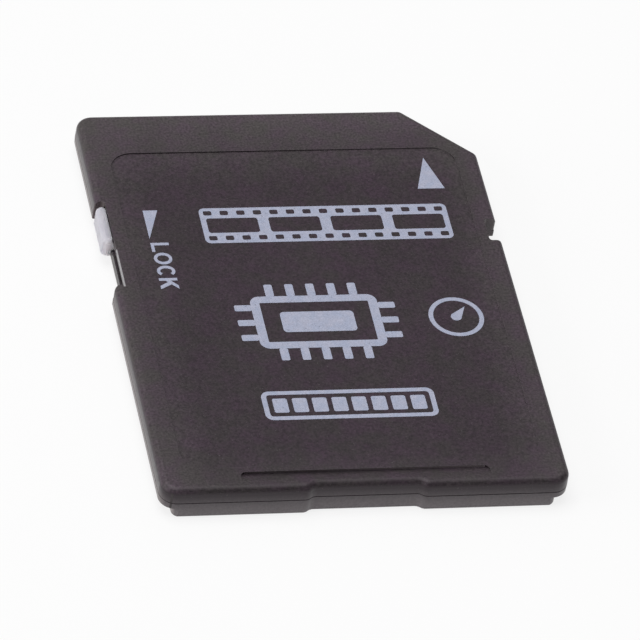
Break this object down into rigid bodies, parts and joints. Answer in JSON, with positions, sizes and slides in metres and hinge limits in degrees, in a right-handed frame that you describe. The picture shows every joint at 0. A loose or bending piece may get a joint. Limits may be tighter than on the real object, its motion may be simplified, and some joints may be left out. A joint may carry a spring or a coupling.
{
  "type": "sd memory card",
  "caption": "Full-size flash memory card: a thin two-shell plastic card with a cut corner, guide rails, a sliding write-protect tab and recessed gold contacts.",
  "frame": {"origin": "middle of the card's outline, on the flat contact face that it rests on", "axes": "+Y towards the contact end, +X to the right seen from the label side, +Z out of the label side"},
  "size_m": [0.024, 0.032, 0.0021],
  "materials": {
    "cover_plastic": "fine-grained matte moulded plastic, dark warm grey",
    "slider_plastic": "smooth white moulded plastic",
    "label_ink": "pale screen-printed ink on the label",
    "board_laminate": "glass laminate under green solder mask",
    "contact_gold": "gold-plated copper",
    "package_epoxy": "black moulding compound",
    "capacitor_ceramic": "tan ceramic",
    "resistor_ceramic": "black glazed ceramic"
  },
  "bodies": {
    "card": {"top_cover": "cover_plastic", "bottom_cover": "cover_plastic", "circuit_board": "board_laminate", "flash_memory_chip": "package_epoxy", "controller_chip": "package_epoxy", "contact_pad_1": "contact_gold", "contact_pad_2": "contact_gold", "contact_pad_3": "contact_gold", "contact_pad_4": "contact_gold", "contact_pad_5": "contact_gold", "contact_pad_6": "contact_gold", "contact_pad_7": "contact_gold", "contact_pad_8": "contact_gold", "contact_pad_9": "contact_gold", "capacitor_1": "capacitor_ceramic", "capacitor_2": "capacitor_ceramic", "capacitor_3": "capacitor_ceramic", "capacitor_4": "capacitor_ceramic", "resistor_1": "resistor_ceramic", "resistor_2": "resistor_ceramic", "resistor_3": "resistor_ceramic", "resistor_4": "resistor_ceramic"},
    "lock": {"lock_slider": "slider_plastic"}
  },
  "joints": [
    {"name": "lock_slide", "type": "slide", "parent": "card", "child": "lock", "axis": [0, -1, 0], "range_m": [0, 0.0036]}
  ]
}
